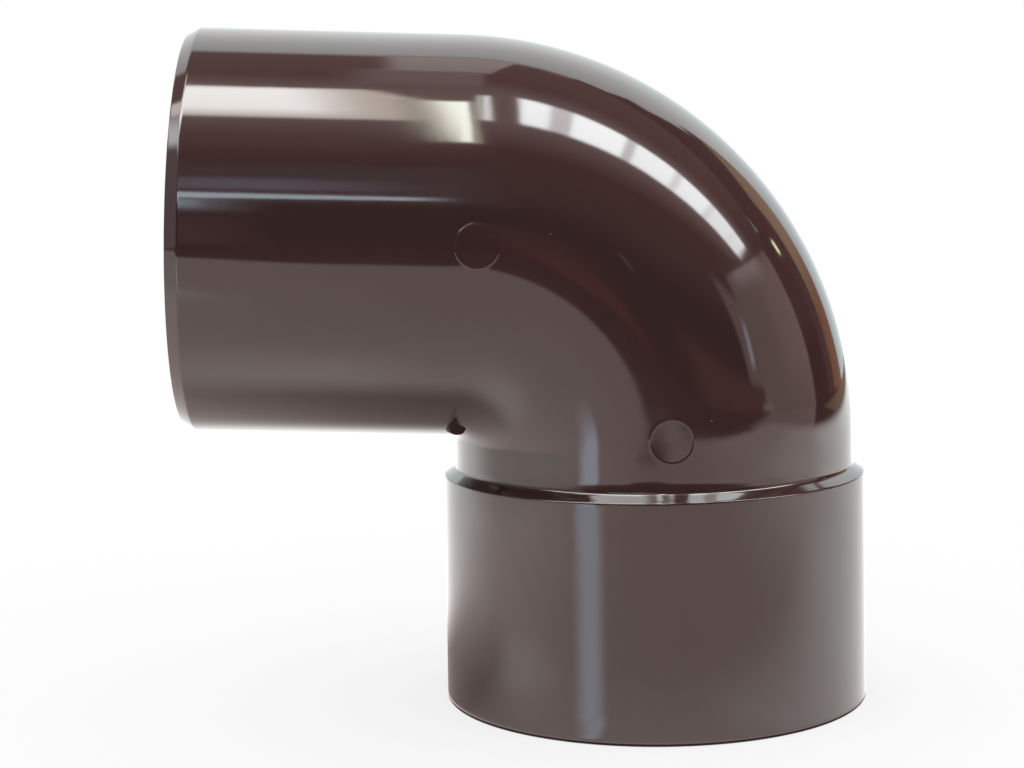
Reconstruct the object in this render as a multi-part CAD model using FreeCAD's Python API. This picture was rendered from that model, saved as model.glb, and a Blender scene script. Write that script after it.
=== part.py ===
# Rainwater downpipe elbow: a socket below, a tight bend, and a spigot that leaves to the side.
# It is one injection moulding. The origin is the centre of the socket's mouth, with +Z up the
# socket's axis. The bend turns towards -X, and the plane Y = 0 is the mould's parting plane.
import FreeCAD
import Part
import math
import os

Vector = FreeCAD.Vector

# Driving dimensions, in millimetres and degrees.
pipe_diameter = 100.0         # outside of the downpipe, and of the elbow's own spigot
wall = 3.0                    # the spigot, the bend and the neck
bend_angle = 87.5             # from the socket's axis to the spigot's, so a run drains by 2.5 degrees
throat_radius = 0.25          # outer surface at the inside of the bend, which is nearly a point
spigot_length = 67.0          # straight, from the bend to the spigot's end
bevel_length = 3.0            # the bevel that leads the spigot into a socket
end_face_width = 1.4          # flat ring that the bevel leaves at the spigot's end
end_break = 0.3               # inner edge of the spigot's end
neck_length = 8.0             # straight, from the bend to the shoulder
shoulder_height = 1.9         # the sloping shoulder between neck and socket
shoulder_break = 0.4          # outer edge of the shoulder
shoulder_fillet = 0.4         # where the shoulder meets the neck
socket_depth = 56.0           # from the mouth to the pipe stop
stop_thickness = 3.0          # from the pipe stop up to the top of the shoulder
stop_fillet = 0.5             # in the corner of the pipe stop
socket_clearance = 0.2        # radial gap between a pipe and the socket's bore
socket_wall = 2.7             # at the shoulder, where it is thinnest
socket_draft = 0.45           # degrees, by which the outside widens towards the mouth
mouth_lead_in = 1.0           # inner chamfer of the mouth
mouth_break = 0.4             # outer edge of the mouth

pipe_radius = pipe_diameter / 2
bore_radius = pipe_radius - wall
bend_radius = pipe_radius + throat_radius
socket_bore = pipe_radius + socket_clearance
socket_outer = socket_bore + socket_wall
shoulder_top = socket_depth + stop_thickness
shoulder_foot = shoulder_top - shoulder_height
bend_start = shoulder_top + neck_length
mouth_outer = socket_outer + shoulder_foot * math.tan(math.radians(socket_draft))
pivot = Vector(-bend_radius, 0, bend_start)
turn_axis = Vector(0, -1, 0)
past_face = wall              # how far a form that opens a face runs on past it


def outline(corners):
    """A flat face from (radius, height) corners. A third value is how far back along both
    sides a flat of 45 degrees, or of half the turn elsewhere, takes that corner off."""
    points = [Vector(corner[0], 0, corner[1]) for corner in corners]
    path = []
    for place, corner in enumerate(corners):
        point = points[place]
        if len(corner) == 2:
            path.append(point)
            continue
        for neighbour in (points[place - 1], points[(place + 1) % len(points)]):
            path.append(point + (neighbour - point).normalize() * corner[2])
    return Part.Face(Part.makePolygon(path + path[:1]))


def spin(corners):
    """An outline turned once round the Z axis."""
    return outline(corners).revolve(Vector(0, 0, 0), Vector(0, 0, 1), 360)


def bend(radius):
    """The bend as a round bar, from the neck's end to the spigot's."""
    disc = Part.Face(Part.Wire(Part.makeCircle(radius)))
    disc.translate(Vector(0, 0, bend_start))
    return disc.revolve(pivot, turn_axis, bend_angle)


def at_bend_end(shape):
    """A form made round the Z axis, from height 0 up, carried to the bend's far end."""
    shape.translate(Vector(0, 0, bend_start))
    shape.rotate(pivot, turn_axis, bend_angle)
    return shape


def socket_outside():
    """Socket, sloping shoulder and neck."""
    return spin([
        (0, 0),
        (mouth_outer, 0, mouth_break),
        (socket_outer, shoulder_foot, shoulder_break),
        (pipe_radius, shoulder_top, shoulder_fillet),
        (pipe_radius, bend_start),
        (0, bend_start),
    ])


def socket_inside():
    """The pipe's room, with its lead-in and its stop, and past the stop the neck's own bore."""
    return spin([
        (0, -past_face),
        (socket_bore + mouth_lead_in + past_face, -past_face),
        (socket_bore, mouth_lead_in),
        (socket_bore, socket_depth, stop_fillet),
        (bore_radius, socket_depth),
        (bore_radius, bend_start),
        (0, bend_start),
    ])


def spigot_outside():
    """The straight spigot with its bevelled end."""
    return at_bend_end(spin([
        (0, 0),
        (pipe_radius, 0),
        (pipe_radius, spigot_length - bevel_length),
        (bore_radius + end_face_width, spigot_length),
        (0, spigot_length),
    ]))


def spigot_inside():
    """The spigot's bore, opened by a small chamfer at its end."""
    return at_bend_end(spin([
        (0, 0),
        (bore_radius, 0),
        (bore_radius, spigot_length - end_break),
        (bore_radius + end_break + past_face, spigot_length + past_face),
        (0, spigot_length + past_face),
    ]))


def elbow_body():
    """The whole moulding: the outside form less the inside form."""
    outside = bend(pipe_radius).fuse([socket_outside(), spigot_outside()])
    inside = bend(bore_radius).fuse([socket_inside(), spigot_inside()])
    return outside.removeSplitter().cut(inside.removeSplitter()).removeSplitter()


os.makedirs("parts", exist_ok=True)
elbow_body().exportStep("parts/elbow_body.step")
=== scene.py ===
# Rainwater downpipe elbow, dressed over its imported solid. The origin is the centre of the socket's
# mouth, with +Z up the socket's axis. The spigot leaves to -X, and the marked side faces -Y.
import math

import bpy
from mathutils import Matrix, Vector


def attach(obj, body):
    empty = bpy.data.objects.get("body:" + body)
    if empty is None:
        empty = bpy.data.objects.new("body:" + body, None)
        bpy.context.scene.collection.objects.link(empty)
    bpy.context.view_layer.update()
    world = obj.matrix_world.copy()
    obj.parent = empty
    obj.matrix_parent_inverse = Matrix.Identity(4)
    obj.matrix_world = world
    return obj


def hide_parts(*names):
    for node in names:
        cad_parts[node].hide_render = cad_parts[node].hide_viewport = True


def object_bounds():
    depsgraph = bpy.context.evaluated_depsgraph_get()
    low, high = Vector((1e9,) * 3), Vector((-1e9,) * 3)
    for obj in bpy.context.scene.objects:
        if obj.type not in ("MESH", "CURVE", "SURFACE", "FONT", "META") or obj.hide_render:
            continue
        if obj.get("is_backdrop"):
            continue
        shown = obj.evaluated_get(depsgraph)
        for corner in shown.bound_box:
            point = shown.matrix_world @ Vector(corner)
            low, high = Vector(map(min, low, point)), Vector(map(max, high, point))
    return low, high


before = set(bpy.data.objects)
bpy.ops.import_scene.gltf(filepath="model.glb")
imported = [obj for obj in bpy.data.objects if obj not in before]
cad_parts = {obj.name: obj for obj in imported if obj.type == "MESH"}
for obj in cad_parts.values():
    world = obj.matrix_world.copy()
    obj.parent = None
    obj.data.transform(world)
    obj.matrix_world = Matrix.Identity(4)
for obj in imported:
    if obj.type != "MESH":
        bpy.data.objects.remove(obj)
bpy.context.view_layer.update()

# Camera. A long lens half a metre in front of the elbow and a little above the spigot's axis, tipped
# down and rolled slightly, as a hand-held one is.
lens_place = (-0.04900678, -0.52143411, 0.13819828)
lens_angles = (83.593446, 1.108856, -1.615236)
lens_length = 73.0062         # millimetres
sensor_width = 36.0

camera_data = bpy.data.cameras.new("camera")
camera_data.lens = lens_length
camera_data.sensor_width = sensor_width
camera = bpy.data.objects.new("camera", camera_data)
camera.location = lens_place
camera.rotation_euler = [math.radians(angle) for angle in lens_angles]
bpy.context.scene.collection.objects.link(camera)
bpy.context.scene.camera = camera
bpy.context.scene.view_settings.view_transform = "Standard"

# The elbow's skin. One injection moulding in unplasticised PVC, 3 mm thick: socket, sloping
# shoulder, neck, bend and bevelled spigot. The mould's halves part on the plane Y = 0, and a
# core from each end forms the bore. Sizes are in millimetres until the mesh is made.
pipe_radius = 50.0            # spigot, bend and neck outside
bore_radius = 47.0            # their inside
bend_radius = 50.25           # of the centre line
bend_turn = math.radians(87.5)
bend_start = 67.0             # along the centre line from the socket's mouth
bend_end = bend_start + bend_radius * bend_turn
spigot_end = bend_end + 67.0
bevel_length = 3.0
bevel_end_radius = 48.4
socket_bore = 50.2
socket_outer = 52.9           # at the shoulder
mouth_outer = 53.3485
lead_in = 1.0
stop_height = 56.0            # pipe stop, from the mouth
shoulder_foot = 57.1
shoulder_top = 59.0
neck_foot = 60.4              # above the shoulder the polish eases the neck out a little
neck_even = 62.2
neck_ease = 0.045
neck_corner_out = 0.121       # the shoulder's slope runs on this far past the neck's own skin
neck_corner_down = 0.079
edge_round = 0.3              # radii of the edges that the mould leaves
mouth_round = 0.45
shoulder_round = 0.4
neck_round = 1.0
bevel_round = 1.2
stop_round = 0.5
rim_round = 0.15
parting_height = 0.04         # witness line where the mould's halves met
parting_columns = (0.12, 0.3)  # degrees either side of it
parting_flank = 0.55          # share of its height at the first of them
parting_mouth_gap = 0.7       # where it starts, and the length over which it fades in and out
parting_mouth_fade = 6.0
parting_bevel_gap = 1.0
parting_bevel_fade = 2.0
pivot = Vector((-bend_radius, 0.0, bend_start))


def station(length):
    """Centre, direction and the way to the bend's inside, at a length along the centre line."""
    turn = min(max((length - bend_start) / bend_radius, 0.0), bend_turn)
    inwards = Vector((-math.cos(turn), 0.0, -math.sin(turn)))
    ahead = Vector((-math.sin(turn), 0.0, math.cos(turn)))
    centre = pivot - inwards * bend_radius
    past = min(length - bend_start, 0.0) + max(length - bend_end, 0.0)
    return centre + ahead * past, ahead, inwards


def skin_point(length, radius, angle):
    """A point of a ring. The angle is 0 at the bend's inside and 90 degrees towards -Y."""
    centre, _, inwards = station(length)
    outwards = inwards * math.cos(angle) + Vector((0.0, -math.sin(angle), 0.0))
    return centre + outwards * radius


def rounded(corners, steps=4, guard=0.25):
    """(radius, length) corners with a true round where a third value gives its radius. A ring a
    little past each round keeps the flats beside it flat."""
    line = []
    for place, corner in enumerate(corners):
        point = Vector(corner[:2])
        if len(corner) == 2 or place in (0, len(corners) - 1):
            line.append(point)
            continue
        before = Vector(corners[place - 1][:2]) - point
        after = Vector(corners[place + 1][:2]) - point
        room_before, room_after = before.length, after.length
        before.normalize()
        after.normalize()
        half = before.angle(after) / 2
        reach = corner[2] / math.tan(half)
        middle = point + (before + after).normalized() * (corner[2] / math.sin(half))
        first = point + before * reach - middle
        last = point + after * reach - middle
        sweep = first.angle(last)
        if room_before > reach + 2 * guard:
            line.append(point + before * (reach + guard))
        for step in range(steps + 1):
            share = step / steps
            line.append(middle + (first * math.sin((1 - share) * sweep)
                                  + last * math.sin(share * sweep)) / math.sin(sweep))
        if room_after > reach + 2 * guard:
            line.append(point + after * (reach + guard))
    return [(spot[0], spot[1]) for spot in line]


def evenly(first, last, count):
    """Rings from first to last, without the first."""
    return [first + (last - first) * step / count for step in range(1, count + 1)]


pin_offset = 4.0              # ejector pins' axes, from the bend's ends into the bend
pin_window = 7.5              # half the side of the square of skin that a pin's mark takes
pin_steps = 18
pin_lengths = (bend_start + pin_offset, bend_end - pin_offset)
bend_steps = 32               # rings from one window to the other, outside
spigot_steps = 6
bore_end_steps = 4
bore_bend_steps = 40
bevel_zone = 2.0              # skin beside each part's edges that its own rings take
end_zone = 3.0
stop_zone = 4.0

# The rings, from the mouth's face up the outside to the spigot's end and back down the bore.
socket_rings = rounded([
    (socket_bore + lead_in, 0.0),
    (mouth_outer, 0.0, mouth_round),
    (socket_outer, shoulder_foot, shoulder_round),
    (pipe_radius + neck_corner_out, shoulder_top - neck_corner_down, neck_round),
    (pipe_radius + neck_ease, neck_foot),
])[:-1]
socket_rings = [(socket_bore + lead_in + rim_round, 0.0)] + socket_rings[1:]
for share in (0.0, 0.2, 0.4, 0.6, 0.8):
    socket_rings.append((pipe_radius + neck_ease * (1 - share) ** 2,
                         neck_foot + (neck_even - neck_foot) * share))
pipe_lengths = [pin_lengths[0] - pin_window]
pipe_lengths += evenly(pin_lengths[0] - pin_window, pin_lengths[0] + pin_window, pin_steps)
pipe_lengths += evenly(pin_lengths[0] + pin_window, pin_lengths[1] - pin_window, bend_steps)
pipe_lengths += evenly(pin_lengths[1] - pin_window, pin_lengths[1] + pin_window, pin_steps)
pipe_lengths += evenly(pin_lengths[1] + pin_window, spigot_end - bevel_length - 2 * bevel_zone,
                       spigot_steps)
pipe_rings = [(pipe_radius, length) for length in pipe_lengths]
end_rings = rounded([
    (pipe_radius, spigot_end - bevel_length - bevel_zone),
    (pipe_radius, spigot_end - bevel_length, bevel_round),
    (bevel_end_radius, spigot_end, edge_round),
    (bore_radius, spigot_end, edge_round),
    (bore_radius, spigot_end - end_zone),
])
bore_lengths = evenly(spigot_end - end_zone, bend_end, bore_end_steps)
bore_lengths += evenly(bend_end, bend_start, bore_bend_steps)
bore_rings = [(bore_radius, length) for length in bore_lengths]
stop_rings = rounded([
    (bore_radius, bend_start - stop_zone),
    (bore_radius, stop_height, edge_round),
    (socket_bore, stop_height, stop_round),
    (socket_bore, lead_in, edge_round),
    (socket_bore + lead_in, 0.0, rim_round),
    (mouth_outer, 0.0),
])[:-1]
rings = socket_rings + pipe_rings + end_rings + bore_rings + stop_rings
outside_count = len(socket_rings) + len(pipe_rings)

columns = []
for degree in range(360):
    if degree % 180:
        columns.append(float(degree))
    else:
        columns += [degree - offset for offset in reversed(parting_columns)]
        columns += [float(degree)] + [degree + offset for offset in parting_columns]
column_count = len(columns)
ring_count = len(rings)


def parting_rise(radius, length, degree):
    """The witness line's height. It fades where the skin is as wide as the moulding gets."""
    side = abs((degree + 90.0) % 180.0 - 90.0)
    if side >= parting_columns[1] or radius < bevel_end_radius + 0.5:
        return 0.0
    fade = min(1.0, (length - parting_mouth_gap) / parting_mouth_fade,
               (spigot_end - bevel_length - parting_bevel_gap - length) / parting_bevel_fade)
    across = 1.0 if side == 0 else parting_flank
    return parting_height * across * max(fade, 0.0)


points = []
for place, (radius, length) in enumerate(rings):
    outside = place < outside_count
    for degree in columns:
        rise = parting_rise(radius, length, degree) if outside else 0.0
        points.append(skin_point(length, radius + rise, math.radians(degree)))


def grid_point(ring, column):
    """The number of the point where a ring and a column cross."""
    return (ring % ring_count) * column_count + column % column_count


# The ejector pins' marks. The pins pushed the moulding off its mould and left two faint round marks
# in the same plastic. Each takes a square window of the skin, which rings round the pin refill.
first_pipe_ring = len(socket_rings)
pin_columns = (columns.index(90.0 - pin_steps / 2), columns.index(90.0 + pin_steps / 2))
pin_rings = [(first_pipe_ring + pipe_lengths.index(pin_lengths[0] - pin_window),
              first_pipe_ring + pin_steps)]
second_window = len([length for length in pipe_lengths
                     if length < pin_lengths[1] - pin_window - 0.01])
pin_rings.append((first_pipe_ring + second_window, first_pipe_ring + second_window + pin_steps))


def in_window(ring, column):
    """Whether the face that starts there belongs to a pin's window."""
    inside = pin_columns[0] <= column < pin_columns[1]
    return inside and any(low <= ring < high for low, high in pin_rings)


faces = []
for ring in range(ring_count):
    for column in range(column_count):
        if not in_window(ring, column):
            faces.append((grid_point(ring, column), grid_point(ring, column + 1),
                          grid_point(ring + 1, column + 1), grid_point(ring + 1, column)))

# (distance from the pin's axis, height of the burr round it). Inside the burr the mark is a dish,
# and the upper pin's is shallower than the lower one's.
pin_profile = ((6.4, 0.0), (5.6, 0.0), (5.28, 0.004), (5.16, 0.042), (5.08, 0.048), (4.98, 0.006),
               (4.9, 0.0), (4.6, 0.0), (4.2, 0.0), (3.6, 0.0), (3.0, 0.0), (2.2, 0.0), (1.1, 0.0))
dish_radius = 5.0
dish_depths = (0.026, 0.012)


def bridge(outer, inner):
    """Faces from one closed row of points to the next one inside it."""
    for side in range(len(outer)):
        after = (side + 1) % len(outer)
        faces.append((outer[side], inner[side], inner[after], outer[after]))


def pin_skin(centre, offset, height):
    """A point of the pin's mark: beside its axis as seen along Y, and that high over the skin."""
    spot = Vector((centre[0] + offset[0], 0.0, centre[2] + offset[1]))
    from_pivot = spot - pivot
    turn = math.atan2(from_pivot[2], from_pivot[0])
    if turn < 0:
        aside = spot[0]
    elif turn > bend_turn:
        aside = (spot - station(bend_end)[0]).dot(station(bend_end)[2])
    else:
        aside = from_pivot.length - bend_radius
    spot[1] = -math.sqrt((pipe_radius + height) ** 2 - aside ** 2)
    return spot


for (low, high), length, depth in zip(pin_rings, pin_lengths, dish_depths):
    centre = station(length)[0]
    left, right = pin_columns
    border = [grid_point(ring, left) for ring in range(low, high)]
    border += [grid_point(high, column) for column in range(left, right)]
    border += [grid_point(ring, right) for ring in range(high, low, -1)]
    border += [grid_point(low, column) for column in range(right, left, -1)]
    bearings = [math.atan2(points[spot][2] - centre[2], points[spot][0] - centre[0])
                for spot in border]
    corners = [(points[spot][0] - centre[0], points[spot][2] - centre[2]) for spot in border]
    previous = border
    widest = pin_profile[0][0]
    for share in (0.35, 0.7):  # from the square towards the round
        current = []
        for (across, up), bearing in zip(corners, bearings):
            offset = (across * (1 - share) + widest * math.cos(bearing) * share,
                      up * (1 - share) + widest * math.sin(bearing) * share)
            current.append(len(points))
            points.append(pin_skin(centre, offset, 0.0))
        bridge(previous, current)
        previous = current
    for distance, burr in pin_profile:
        current = []
        dish = depth * max(0.0, 1 - (distance / dish_radius) ** 2)
        for bearing in bearings:
            offset = (distance * math.cos(bearing), distance * math.sin(bearing))
            current.append(len(points))
            points.append(pin_skin(centre, offset, burr - dish))
        bridge(previous, current)
        previous = current
    points.append(pin_skin(centre, (0.0, 0.0), -depth))
    for side in range(len(border)):
        faces.append((previous[side], len(points) - 1, previous[(side + 1) % len(border)]))

# The gate's stub, in the crotch on the marked side: a short round pin of the same plastic, where it
# was injected. The mould sheared it off at a slant when it opened, and left its face torn.
stub_length = bend_end - bend_radius * math.radians(6.0)
stub_angle = math.radians(24.6)
stub_reach = 0.80             # of its face, over the skin at its middle
stub_slant = math.tan(math.radians(22.0))
stub_sides = 48
stub_dimple = 0.05            # its face's middle, below the face
stub_root_depth = 3.7         # its closed root, inside the wall
# (distance from its axis, depth below its face)
stub_profile = ((1.6, 3.6), (2.0, 3.4), (2.0, 2.0), (2.0, 1.0), (2.0, 0.5), (1.96, 0.22), (1.82, 0.06),
                (1.6, 0.0), (0.9, 0.03))

_, _, stub_inwards = station(stub_length)
stub_out = stub_inwards * math.cos(stub_angle) + Vector((0.0, -math.sin(stub_angle), 0.0))
stub_root = skin_point(stub_length, pipe_radius, stub_angle)
stub_lean = Vector((0.0, -1.0, 0.0))
stub_lean = (stub_lean - stub_out * stub_lean.dot(stub_out)).normalized()
stub_across = stub_out.cross(stub_lean)

stub_first = len(points)
stub_rings = []
for distance, below_face in stub_profile:
    ring = []
    for side in range(stub_sides):
        bearing = 2 * math.pi * side / stub_sides
        ragged = 1.0 + 0.025 * math.sin(3 * bearing + 1.0) + 0.012 * math.sin(5 * bearing)
        offset = (stub_lean * math.cos(bearing) + stub_across * math.sin(bearing)) * distance * ragged
        ring.append(len(points))
        points.append(stub_root + offset
                      + stub_out * (stub_reach - offset.dot(stub_lean) * stub_slant - below_face))
    stub_rings.append(ring)
for below, above in zip(stub_rings, stub_rings[1:]):
    for side in range(stub_sides):
        after = (side + 1) % stub_sides
        faces.append((below[side], below[after], above[after], above[side]))
points.append(stub_root + stub_out * (stub_reach - stub_dimple))
points.append(stub_root + stub_out * (stub_reach - stub_root_depth))
for side in range(stub_sides):
    after = (side + 1) % stub_sides
    faces.append((stub_rings[-1][side], stub_rings[-1][after], len(points) - 2))
    faces.append((stub_rings[0][after], stub_rings[0][side], len(points) - 1))

millimetre = 0.001
elbow_mesh = bpy.data.meshes.new("elbow")
elbow_mesh.from_pydata([tuple(point * millimetre) for point in points], [], faces)
elbow_mesh.validate()
elbow_mesh.shade_smooth()
elbow = bpy.data.objects.new("elbow", elbow_mesh)
bpy.context.scene.collection.objects.link(elbow)

# Two kinds of skin differ from the polished outside: the core's, which is duller and drawn along
# the bore, and the gate's, which is torn.
core_first_ring = outside_count + len(end_rings) - 5  # on the inner edge of the spigot's end
core_last_ring = ring_count - 2                       # on the mouth's lead-in
core_side = [0.0] * len(points)
for ring in range(core_first_ring, core_last_ring):
    for column in range(column_count):
        core_side[grid_point(ring, column)] = 1.0
torn = [0.0] * stub_first + [1.0] * (len(points) - stub_first)
for name, values in (("core_side", core_side), ("torn", torn)):
    elbow_mesh.attributes.new(name, "FLOAT", "POINT").data.foreach_set("value", values)

# Chocolate brown gloss: the mould's polish, with a fine orange peel and slow waves that ruffle what
# it mirrors, faint scuffs, and a few specks of dust.
plastic_ior = 1.53
brown_deep = (0.0295, 0.0144, 0.0128)
brown_light = (0.0325, 0.0161, 0.0144)
core_brown = (0.036, 0.0180, 0.0160)
torn_brown = (0.035, 0.012, 0.012)
dust_grey = (0.17, 0.155, 0.14)
dust_cover = 0.5
polished_rough = (0.055, 0.08)
scuff_rough = 0.10
dust_rough = 0.3
core_rough = (0.20, 0.34)
torn_rough = (0.45, 0.7)
polished_shine = 0.95
torn_shine = 0.10
peel_height = 0.0000007       # heights of the relief are in metres
ripple_height = 0.0000011
wave_height = 0.0000090
drawn_height = 0.0000040
torn_height = 0.00009
dust_height = 0.00002
noise_span = (0.3, 0.7)       # where nearly all of a noise lies

brown = bpy.data.materials.new("brown_gloss")
brown.use_nodes = True
nodes = brown.node_tree.nodes
links = brown.node_tree.links
plastic = nodes["Principled BSDF"]
plastic.inputs["IOR"].default_value = plastic_ior
plastic.inputs["Specular IOR Level"].default_value = polished_shine
place_node = nodes.new("ShaderNodeTexCoord")
skin_place = place_node.outputs["Object"]


def noise(scale, detail, rough=0.5, distortion=0.0, place=skin_place):
    """Noise over the skin. Its scale is in cycles a metre."""
    node = nodes.new("ShaderNodeTexNoise")
    node.inputs["Scale"].default_value = scale
    node.inputs["Detail"].default_value = detail
    node.inputs["Roughness"].default_value = rough
    node.inputs["Distortion"].default_value = distortion
    links.new(place, node.inputs["Vector"])
    return node.outputs["Fac"]


def spread(value, low, high, to_low=0.0, to_high=1.0):
    """A value's range from low to high, laid onto another range and held there."""
    node = nodes.new("ShaderNodeMapRange")
    for name, number in (("From Min", low), ("From Max", high), ("To Min", to_low),
                         ("To Max", to_high)):
        node.inputs[name].default_value = number
    links.new(value, node.inputs["Value"])
    return node.outputs["Result"]


def maths(operation, first, second):
    """Two values, or a value and a number, put together."""
    node = nodes.new("ShaderNodeMath")
    node.operation = operation
    for socket, value in zip(node.inputs, (first, second)):
        if isinstance(value, float):
            socket.default_value = value
        else:
            links.new(value, socket)
    return node.outputs["Value"]


def blend(share, first, second):
    """From first to second by a share, for numbers or for values."""
    node = nodes.new("ShaderNodeMix")
    links.new(share, node.inputs[0])
    for socket, value in ((node.inputs[2], first), (node.inputs[3], second)):
        if isinstance(value, float):
            socket.default_value = value
        else:
            links.new(value, socket)
    return node.outputs[0]


def tint(share, first, second):
    """From one colour to another by a share. Each is a colour or a socket."""
    node = nodes.new("ShaderNodeMix")
    node.data_type = "RGBA"
    links.new(share, node.inputs[0])
    for socket, value in ((node.inputs[6], first), (node.inputs[7], second)):
        if isinstance(value, tuple):
            socket.default_value = (*value, 1.0)
        else:
            links.new(value, socket)
    return node.outputs[2]


def skin_mask(name):
    """How far a point of the skin is of that kind."""
    node = nodes.new("ShaderNodeAttribute")
    node.attribute_name = name
    return node.outputs["Fac"]


core_mask = skin_mask("core_side")
torn_mask = skin_mask("torn")
peel = noise(1500.0, 1.5)
ripple = noise(620.0, 2.0)
wave = noise(105.0, 1.5)
cloud = noise(38.0, 4.0, 0.6)
specks = nodes.new("ShaderNodeTexVoronoi")
specks.inputs["Scale"].default_value = 330.0
links.new(skin_place, specks.inputs["Vector"])
near_speck = spread(specks.outputs["Distance"], 0.045, 0.075, 1.0, 0.0)
few_cells = nodes.new("ShaderNodeSeparateXYZ")
links.new(specks.outputs["Color"], few_cells.inputs["Vector"])
dust = maths("MULTIPLY", near_speck, spread(few_cells.outputs["X"], 0.982, 0.984))

stretch = nodes.new("ShaderNodeMapping")
stretch.inputs["Scale"].default_value = (0.06, 1.0, 0.06)
links.new(skin_place, stretch.inputs["Vector"])
drawn = noise(2600.0, 2.0, place=stretch.outputs["Vector"])
grit = noise(5200.0, 3.0, 0.7)
scuffs = spread(noise(260.0, 6.0, 0.72, 0.6), 0.69, 0.78)

colour = tint(spread(cloud, *noise_span), brown_deep, brown_light)
colour = tint(spread(core_mask, 0.2, 0.8), colour, core_brown)
colour = tint(maths("MULTIPLY", torn_mask, spread(grit, 0.35, 0.7)), colour, torn_brown)
colour = tint(maths("MULTIPLY", dust, dust_cover), colour, dust_grey)
links.new(colour, plastic.inputs["Base Color"])

polish = maths("ADD", spread(cloud, *noise_span, *polished_rough),
               maths("MULTIPLY", scuffs, scuff_rough))
polish = maths("ADD", polish, maths("MULTIPLY", dust, dust_rough))
polish = blend(core_mask, polish, spread(drawn, *noise_span, *core_rough))
polish = blend(torn_mask, polish, spread(grit, *noise_span, *torn_rough))
links.new(polish, plastic.inputs["Roughness"])
links.new(blend(torn_mask, polished_shine, torn_shine), plastic.inputs["Specular IOR Level"])

height = maths("MULTIPLY", peel, peel_height)
height = maths("ADD", height, maths("MULTIPLY", ripple, ripple_height))
height = maths("ADD", height, maths("MULTIPLY", wave, wave_height))
for kind, grain, most in ((core_mask, drawn, drawn_height), (torn_mask, grit, torn_height)):
    height = maths("ADD", height, maths("MULTIPLY", maths("MULTIPLY", kind, grain), most))
height = maths("ADD", height, maths("MULTIPLY", dust, dust_height))
relief = nodes.new("ShaderNodeBump")
relief.inputs["Strength"].default_value = 1.0
relief.inputs["Distance"].default_value = 1.0
links.new(height, relief.inputs["Height"])
links.new(relief.outputs["Normal"], plastic.inputs["Normal"])
elbow_mesh.materials.append(brown)

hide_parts("elbow_body")
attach(elbow, "root")

# Table top. A wide sheet of white board that the elbow stands on, seen as white as its backdrop.
# It keeps a soft shadow round the socket's mouth.
table_reach = 3.0
board_white = 0.95
board_glow = 0.75             # share of plain white that the camera sees on it

table_mesh = bpy.data.meshes.new("table")
table_mesh.from_pydata([(-table_reach, -table_reach, 0.0), (table_reach, -table_reach, 0.0),
                        (table_reach, table_reach, 0.0), (-table_reach, table_reach, 0.0)],
                       [], [(0, 1, 2, 3)])
table = bpy.data.objects.new("table", table_mesh)
bpy.context.scene.collection.objects.link(table)
board = bpy.data.materials.new("white_board")
board.use_nodes = True
board_nodes = board.node_tree.nodes
board_links = board.node_tree.links
board_surface = board_nodes["Principled BSDF"]
board_surface.inputs["Base Color"].default_value = (board_white, board_white, board_white, 1.0)
board_surface.inputs["Roughness"].default_value = 1.0
board_surface.inputs["Specular IOR Level"].default_value = 0.0
board_light = board_nodes.new("ShaderNodeEmission")
board_ray = board_nodes.new("ShaderNodeLightPath")
board_share = board_nodes.new("ShaderNodeMath")
board_share.operation = "MULTIPLY"
board_share.inputs[1].default_value = board_glow
board_mix = board_nodes.new("ShaderNodeMixShader")
board_links.new(board_ray.outputs["Is Camera Ray"], board_share.inputs[0])
board_links.new(board_share.outputs["Value"], board_mix.inputs["Fac"])
board_links.new(board_surface.outputs["BSDF"], board_mix.inputs[1])
board_links.new(board_light.outputs["Emission"], board_mix.inputs[2])
board_links.new(board_mix.outputs["Shader"], board_nodes["Material Output"].inputs["Surface"])
table_mesh.materials.append(board)
table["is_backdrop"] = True

# Room light. A plain white dome lights everything evenly. The camera, mirror images and anything
# clear see it as plain white, which is the backdrop.
dome_level = 1.06

world = bpy.data.worlds.new("room")
bpy.context.scene.world = world
world.use_nodes = True
dome_nodes = world.node_tree.nodes
dome_links = world.node_tree.links
dome = dome_nodes["Background"]
dome.inputs["Color"].default_value = (1.0, 1.0, 1.0, 1.0)
dome_ray = dome_nodes.new("ShaderNodeLightPath")
dome_seen = dome_ray.outputs["Is Camera Ray"]
for kind in ("Is Glossy Ray", "Is Transmission Ray"):
    either = dome_nodes.new("ShaderNodeMath")
    either.operation = "MAXIMUM"
    dome_links.new(dome_seen, either.inputs[0])
    dome_links.new(dome_ray.outputs[kind], either.inputs[1])
    dome_seen = either.outputs["Value"]
dome_strength = dome_nodes.new("ShaderNodeMapRange")
dome_strength.inputs["To Min"].default_value = dome_level
dome_strength.inputs["To Max"].default_value = 1.0
dome_links.new(dome_seen, dome_strength.inputs["Value"])
dome_links.new(dome_strength.outputs["Result"], dome.inputs["Strength"])

# Lamps and room as painted reflections: glowing cards that only the gloss sees, for trays of lamps over
# the table, a window in front, a white board behind and dim walls. They light nothing, so that they
# change neither the light on the elbow nor the backdrop. Of cards that overlap, the one nearer the
# elbow shows.
ceiling_height = 1.5
front_wall = -1.5
right_wall = 2.95
left_wall = -1.5
no_fade = (0.0, 0.0, 0.0, 0.0)
least_fade = 0.0001           # share of a card's width, for an edge that is sharp

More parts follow.
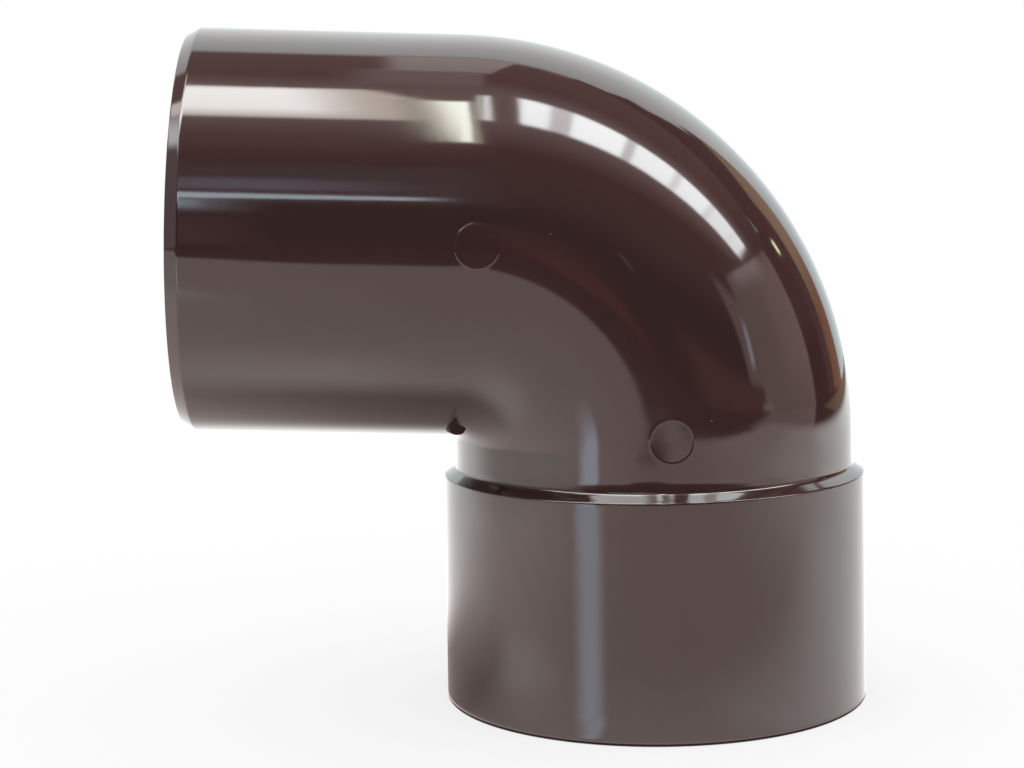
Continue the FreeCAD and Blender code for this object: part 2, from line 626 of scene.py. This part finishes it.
soft_edges = bpy.data.node_groups.new("soft_edges", "ShaderNodeTree")
for side in ("Left", "Right", "Low", "High"):
    soft_edges.interface.new_socket(side, in_out="INPUT", socket_type="NodeSocketFloat")
soft_edges.interface.new_socket("Mask", in_out="OUTPUT", socket_type="NodeSocketFloat")
edge_nodes = soft_edges.nodes
edge_links = soft_edges.links
edge_in = edge_nodes.new("NodeGroupInput")
edge_out = edge_nodes.new("NodeGroupOutput")
edge_place = edge_nodes.new("ShaderNodeUVMap")
edge_split = edge_nodes.new("ShaderNodeSeparateXYZ")
edge_links.new(edge_place.outputs["UV"], edge_split.inputs["Vector"])
mask = None
for side, axis in (("Left", "X"), ("Right", "X"), ("Low", "Y"), ("High", "Y")):
    inset = edge_split.outputs[axis]
    if side in ("Right", "High"):
        turned = edge_nodes.new("ShaderNodeMath")
        turned.operation = "SUBTRACT"
        turned.inputs[0].default_value = 1.0
        edge_links.new(inset, turned.inputs[1])
        inset = turned.outputs["Value"]
    ramp = edge_nodes.new("ShaderNodeMapRange")
    ramp.interpolation_type = "SMOOTHSTEP"
    edge_links.new(inset, ramp.inputs["Value"])
    edge_links.new(edge_in.outputs[side], ramp.inputs["From Max"])
    if mask is None:
        mask = ramp.outputs["Result"]
    else:
        both = edge_nodes.new("ShaderNodeMath")
        both.operation = "MULTIPLY"
        edge_links.new(mask, both.inputs[0])
        edge_links.new(ramp.outputs["Result"], both.inputs[1])
        mask = both.outputs["Value"]
edge_links.new(mask, edge_out.inputs["Mask"])


def card(name, corners, light, soft=no_fade):
    """A flat glowing card that only glossy surfaces see: a painted reflection, which lights nothing.
    Corners go round from the low left one. Its edges fade over soft metres: left, right, low, high."""
    mesh = bpy.data.meshes.new(name)
    mesh.from_pydata(corners, [], [(0, 1, 2, 3)])
    mesh.uv_layers.new(name="UVMap").uv.foreach_set("vector", (0, 0, 1, 0, 1, 1, 0, 1))
    panel = bpy.data.objects.new(name, mesh)
    bpy.context.scene.collection.objects.link(panel)
    spots = [Vector(corner) for corner in corners]
    wide = (spots[1] - spots[0] + spots[2] - spots[3]).length / 2
    high = (spots[3] - spots[0] + spots[2] - spots[1]).length / 2
    material = bpy.data.materials.new(name)
    material.use_nodes = True
    tree = material.node_tree
    tree.nodes.remove(tree.nodes["Principled BSDF"])
    glow = tree.nodes.new("ShaderNodeEmission")
    glow.inputs["Color"].default_value = (*light, 1.0)
    clear = tree.nodes.new("ShaderNodeBsdfTransparent")
    edges = tree.nodes.new("ShaderNodeGroup")
    edges.node_tree = soft_edges
    for side, blur, span in zip(("Left", "Right", "Low", "High"), soft, (wide, wide, high, high)):
        edges.inputs[side].default_value = max(blur / span, least_fade)
    fade = tree.nodes.new("ShaderNodeMixShader")
    tree.links.new(edges.outputs["Mask"], fade.inputs["Fac"])
    tree.links.new(clear.outputs["BSDF"], fade.inputs[1])
    tree.links.new(glow.outputs["Emission"], fade.inputs[2])
    tree.links.new(fade.outputs["Shader"], tree.nodes["Material Output"].inputs["Surface"])
    material.cycles.emission_sampling = "NONE"
    mesh.materials.append(material)
    panel.visible_camera = False
    panel.visible_diffuse = False
    panel.visible_shadow = False
    panel.visible_transmission = False
    panel.visible_volume_scatter = False
    panel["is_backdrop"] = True


def level(name, x, y, light, soft=no_fade, z=ceiling_height, far=None):
    """A level card between two x and two y limits. far gives the x limits at its far edge, where
    they aren't the same as at its near one."""
    far = far or x
    card(name, [(x[0], y[0], z), (x[1], y[0], z), (far[1], y[1], z), (far[0], y[1], z)], light, soft)


def facing(name, x, z, light, soft=no_fade, y=front_wall):
    """An upright card across the room, between two x and two z limits."""
    card(name, [(x[0], y, z[0]), (x[1], y, z[0]), (x[1], y, z[1]), (x[0], y, z[1])], light, soft)


def beside(name, y, z, light, soft=no_fade, x=right_wall):
    """An upright card along the room, between two y and two z limits."""
    card(name, [(x, y[0], z[0]), (x, y[1], z[0]), (x, y[1], z[1]), (x, y[0], z[1])], light, soft)


# Painted reflections of the ceiling and of the trays of lamps in it, which light nothing: one in front
# to the left, a warm lamp over the elbow, a narrow one beside it, and a long row to the right.
level("ceiling", (-1.5, 3.2), (-3.2, 0.76), (0.25, 0.13, 0.125), z=1.506)
level("ceiling_left", (-1.5, 0.3), (-1.45, 0.77), (0.44, 0.27, 0.25), (0.0, 0.3, 0.5, 0.0), z=1.505)
level("ceiling_right", (-0.2, 3.0), (-1.15, 0.77), (0.42, 0.23, 0.22), (0.4, 1.6, 0.3, 0.0), z=1.504)
level("ceiling_by_trays", (-1.5, 3.0), (-1.0, 0.25), (0.80, 0.57, 0.54), (0.0, 0.6, 0.5, 0.3), z=1.503)
level("ceiling_lit", (-0.10, 0.13), (0.0, 0.42), (0.84, 0.62, 0.60), (0.05, 0.04, 0.12, 0.05))
level("ceiling_opening", (-0.055, 0.14), (0.36, 0.77), (1.40, 1.15, 1.10), (0.01, 0.02, 0.03, 0.0),
      z=1.495, far=(-0.06, 0.25))
level("tray_left", (-1.5, -0.010), (-0.60, -0.16), (4.4, 3.8, 3.4), (0.0, 0.035, 0.06, 0.05), z=1.492,
      far=(-1.5, -0.012))
level("tray_left_back", (-1.5, 0.0), (-0.24, -0.025), (4.4, 3.8, 3.3), (0.0, 0.025, 0.05, 0.03),
      z=1.490, far=(-1.5, -0.055))
level("tray_left_end", (-1.5, -0.34), (-0.10, 0.25), (4.2, 3.7, 3.5), (0.0, 0.05, 0.0, 0.05), z=1.492)
level("lamps_left", (-1.5, -0.05), (-0.60, -0.03), (8.6, 8.5, 8.3), (0.0, 0.08, 0.22, 0.06), z=1.485,
      far=(-1.5, -0.065))
level("lamp_warm_rim", (-0.015, 0.150), (-1.01, -0.185), (2.4, 2.15, 1.7), (0.03, 0.03, 0.05, 0.03),
      z=1.488, far=(-0.055, 0.085))
level("lamp_warm", (-0.006, 0.087), (-0.985, -0.205), (10.6, 10.8, 9.7), (0.045, 0.014, 0.06, 0.02),
      z=1.48, far=(-0.028, 0.049))
level("tray_right", (0.07, 0.19), (-0.55, -0.06), (3.5, 3.3, 3.0), (0.02, 0.03, 0.05, 0.05), z=1.49,
      far=(0.07, 0.155))
level("lamp_slit", (0.112, 0.175), (-0.535, -0.06), (7.0, 7.0, 7.0), (0.02, 0.03, 0.06, 0.05), z=1.485,
      far=(0.105, 0.152))
level("tray_band", (0.30, 2.82), (-0.54, -0.02), (4.9, 4.7, 4.7), (0.02, 0.15, 0.08, 0.05), z=1.49,
      far=(0.250, 2.68))
level("tray_band_far", (1.1, 2.70), (-0.54, -0.02), (6.3, 6.1, 6.1), (0.15, 0.15, 0.08, 0.05), z=1.489,
      far=(1.1, 2.60))
band_lamps = ((0.275, 0.46, 9.2), (0.54, 0.91, 9.4), (0.95, 1.34, 8.8), (1.38, 1.80, 8.6),
              (1.84, 2.29, 7.5), (2.30, 2.62, 7.2))
band_slant = 0.01
for place, (left, right, power) in enumerate(band_lamps):
    level("lamp_band_%d" % place, (left + band_slant, right + band_slant), (-0.54, -0.02),
          (power * 0.98, power, power * 1.01), (0.035, 0.035, 0.10, 0.06), z=1.485,
          far=(left - band_slant, right - band_slant))

# Painted reflections of the wall in front, with its window and its shelves. The dim part under the
# window is what stands beyond the table's front edge.
facing("wall_front", (-1.5, 3.2), (-0.2, 1.6), (0.050, 0.028, 0.03), y=-1.52)
facing("wall_front_high", (-1.5, 3.2), (0.55, 1.6), (0.20, 0.11, 0.11), (0.0, 0.0, 0.5, 0.0), y=-1.515)
facing("window_haze", (-0.9, 0.25), (0.55, 1.5), (0.26, 0.19, 0.22), (0.0, 0.3, 0.2, 0.3), y=-1.51)
facing("window_pane", (-0.9, 0.00), (0.80, 1.09), (0.66, 0.64, 0.82), (0.0, 0.22, 0.06, 0.14), y=-1.505)
card("window_sill", [(-0.9, -1.5, 0.60), (-0.015, -1.5, 0.685), (-0.015, -1.5, 0.755),
                     (-0.9, -1.5, 0.83)],
     (2.9, 3.4, 3.8), (0.0, 0.06, 0.035, 0.03))
facing("window_side", (-0.45, -0.268), (0.46, 0.66), (1.7, 2.2, 2.7), (0.0, 0.02, 0.12, 0.04))
facing("window_side_haze", (-0.45, -0.205), (0.40, 0.70), (0.75, 0.8, 0.9), (0.0, 0.08, 0.15, 0.04),
       y=-1.503)
facing("shelf_left", (-0.36, -0.20), (-0.1, 0.50), (0.22, 0.13, 0.13), (0.0, 0.10, 0.1, 0.2))
facing("shelf_middle", (-0.02, 0.30), (-0.06, 0.30), (0.30, 0.09, 0.095), (0.09, 0.14, 0.07, 0.22))
# A painted glint on a shelf's edge.
facing("shelf_glint", (0.543, 0.566), (0.44, 0.60), (0.55, 0.55, 0.58), (0.008, 0.008, 0.05, 0.05))
facing("shelf_upper", (-0.04, 0.30), (0.12, 0.42), (0.22, 0.09, 0.09), (0.06, 0.12, 0.08, 0.15))
facing("shelf_right", (0.5, 3.2), (-0.15, 0.32), (0.24, 0.11, 0.11), (0.4, 0.0, 0.1, 0.15))
facing("wall_corner", (2.05, 3.2), (0.15, 1.3), (0.62, 0.46, 0.44), (0.15, 0.0, 0.12, 0.25))

# Painted reflections: the wall on the right, with its cupboards, and the door beside the white board
# behind.
beside("wall_right", (-3.2, 2.0), (-0.3, 1.7), (0.20, 0.09, 0.09), x=2.98)
beside("wall_right_low", (-3.2, 2.0), (-0.3, 0.75), (0.11, 0.045, 0.045), (0.0, 0.0, 0.0, 0.3), x=2.97)
card("cupboards", [(2.95, -1.50, -0.25), (2.95, 0.64, -0.25), (2.95, 0.64, 1.6), (2.95, -2.08, 1.6)],
     (0.66, 0.48, 0.45), (0.10, 0.08, 0.34, 0.1))
beside("cupboards_near", (-0.75, 0.64), (0.1, 1.5), (0.80, 0.58, 0.55), (0.6, 0.08, 0.4, 0.1), x=2.945)
beside("cupboard_top", (-1.45, 0.3), (1.2, 1.6), (1.35, 1.15, 1.1), (0.5, 0.5, 0.3, 0.0), x=2.94)
# A painted glint: a narrow bluish streak by the cupboards' left edge, set on the front wall.
card("cupboard_glint", [(2.32, -1.495, 0.32), (2.61, -1.495, 0.32), (2.89, -1.495, 0.98),
                        (2.60, -1.495, 0.98)],
     (1.42, 1.46, 1.60), (0.05, 0.07, 0.15, 0.30))
beside("cupboard_foot", (-1.75, -1.10), (-0.22, 0.10), (0.86, 0.67, 0.60), (0.05, 0.2, 0.05, 0.04),
       x=2.94)
facing("cupboard_end", (2.58, 3.0), (-0.22, 0.09), (0.82, 0.63, 0.58), (0.12, 0.0, 0.05, 0.04),
       y=-1.494)
beside("lamp_far", (1.28, 1.47), (1.30, 1.50), (6.0, 5.8, 3.6), (0.05, 0.05, 0.05, 0.05), x=2.94)
facing("wall_behind", (1.0, 4.5), (-0.3, 4.0), (0.22, 0.11, 0.11), y=1.53)
facing("door", (1.36, 2.16), (-0.2, 1.46), (0.84, 0.53, 0.37), (0.02, 0.06, 0.0, 0.04), y=1.51)
facing("door_low", (1.36, 2.16), (-0.2, 0.85), (0.55, 0.27, 0.16), (0.02, 0.06, 0.0, 0.5), y=1.50)
facing("board_low", (-3.0, 1.38), (-0.3, 1.15), (1.16, 1.27, 1.30), (0.0, 0.04, 0.0, 0.75), y=1.515)
card("board_behind", [(-3.0, 1.52, -0.3), (1.42, 1.52, -0.3), (1.28, 1.52, 2.62), (-3.0, 1.52, 2.62)],
     (1.50, 1.52, 1.50), (0.0, 0.03, 0.0, 0.05))
facing("board_high", (0.9, 1.50), (1.60, 2.30), (1.50, 1.50, 1.45), (0.0, 0.05, 0.10, 0.15), y=1.519)

# Painted reflections of the wall on the left and of a bright window in it, which only the spigot's
# bevelled end mirrors.
beside("wall_left", (-2.6, 0.7), (-0.1, 1.5), (0.45, 0.38, 0.42), (0.0, 0.3, 0.0, 0.2), x=left_wall)
beside("window_left", (-0.80, 0.16), (1.08, 1.56), (3.7, 3.6, 3.7), (0.2, 0.12, 0.12, 0.28), x=-1.48)

# Painted reflections of the table's top: warm and dim in front, with painted shade there, bright
# beside and behind, with a painted shadow of the elbow under the spigot, and a painted streak of light,
# as from a far window, across it and up the socket's skin. These cards lie on the table, the upper
# ones a hair over the lower, but for the streak's upright foot beside the socket.
level("floor_beyond", (-3.0, 3.2), (-3.2, 3.2), (0.10, 0.05, 0.05), z=0.0003)
card("floor_right", [(0.8, -0.74, 0.0005), (3.1, -1.45, 0.0005), (3.1, 0.66, 0.0005),
                     (0.8, 0.10, 0.0005)],
     (0.70, 0.51, 0.48), (0.0, 0.0, 0.12, 0.08))
level("floor_behind", (0.85, 1.9), (0.50, 1.6), (0.50, 0.30, 0.19), (0.0, 0.5, 0.08, 0.1), z=0.0006)
level("top_base", (-3.0, 1.30), (-0.63, 1.6), (1.35, 1.17, 1.12), (0.0, 0.30, 0.12, 0.0), z=0.0007,
      far=(-3.0, 0.40))
# Painted shade in front of the elbow: a dimmer band, and a soft dim patch in the middle.
level("top_front", (-3.0, 1.30), (-0.63, -0.10), (1.04, 0.84, 0.80), (0.0, 0.30, 0.12, 0.25), z=0.0009,
      far=(-3.0, 1.20))
level("top_middle", (-0.36, 0.42), (-0.62, 0.06), (0.80, 0.65, 0.61), (0.38, 0.30, 0.14, 0.22),
      z=0.0011, far=(-0.36, 0.40))
level("top_left", (-1.5, -0.30), (-0.38, 0.33), (0.98, 0.94, 0.89), (0.0, 0.16, 0.12, 0.22), z=0.0012)
# A painted brighter patch on the table, left of the socket's foot.
level("top_glow", (-0.160, -0.055), (-0.095, 0.0), (1.32, 1.17, 1.11), (0.05, 0.035, 0.045, 0.03),
      z=0.00125)
level("top_behind", (-1.2, 0.98), (-0.02, 1.6), (1.72, 1.72, 1.68), (0.3, 0.45, 0.18, 0.0), z=0.0009,
      far=(-1.2, 0.85))
level("top_beside", (0.01, 0.60), (-0.115, 1.6), (1.46, 1.46, 1.42), (0.03, 0.35, 0.12, 0.0), z=0.0012)
# A painted shadow of the elbow under the spigot, that only reflections see.
level("top_shadow", (-0.205, 0.0), (-0.048, 0.11), (0.42, 0.34, 0.32), (0.158, 0.0, 0.035, 0.075),
      z=0.0013)
# A painted dark band along the table's front edge, where the room beyond it is dim.
level("top_edge_dark", (-0.31, 0.16), (-0.72, -0.455), (0.14, 0.07, 0.07), (0.05, 0.05, 0.0, 0.055),
      z=0.0013, far=(-0.110, 0.010))
# The painted streak of light, as from a far window: a bright band across the table, and an upright
# glowing card beside the socket that paints it up the socket's skin.
card("top_streak", [(-0.145, -0.152, 0.0013), (-0.099, -0.186, 0.0013),
                    (-0.403, -0.583, 0.0013), (-0.524, -0.470, 0.0013)],
     (2.0, 2.2, 2.55), (0.035, 0.040, 0.155, 0.03))
card("streak_start", [(-0.0238, -0.0466, 0.0014), (-0.0170, -0.0516, 0.0014),
                      (-0.0262, -0.0699, 0.0014), (-0.0398, -0.0601, 0.0014)],
     (1.68, 1.8, 2.03), (0.0055, 0.0055, 0.0, 0.0))
card("painted_streak_up_socket", [(-0.0398, -0.0601, 0.0), (-0.0262, -0.0699, 0.0), (-0.0262, -0.0699, 0.0535),
                     (-0.0398, -0.0601, 0.0535)],
     (1.68, 1.8, 2.03), (0.0075, 0.0075, 0.0, 0.001))

low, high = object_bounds()
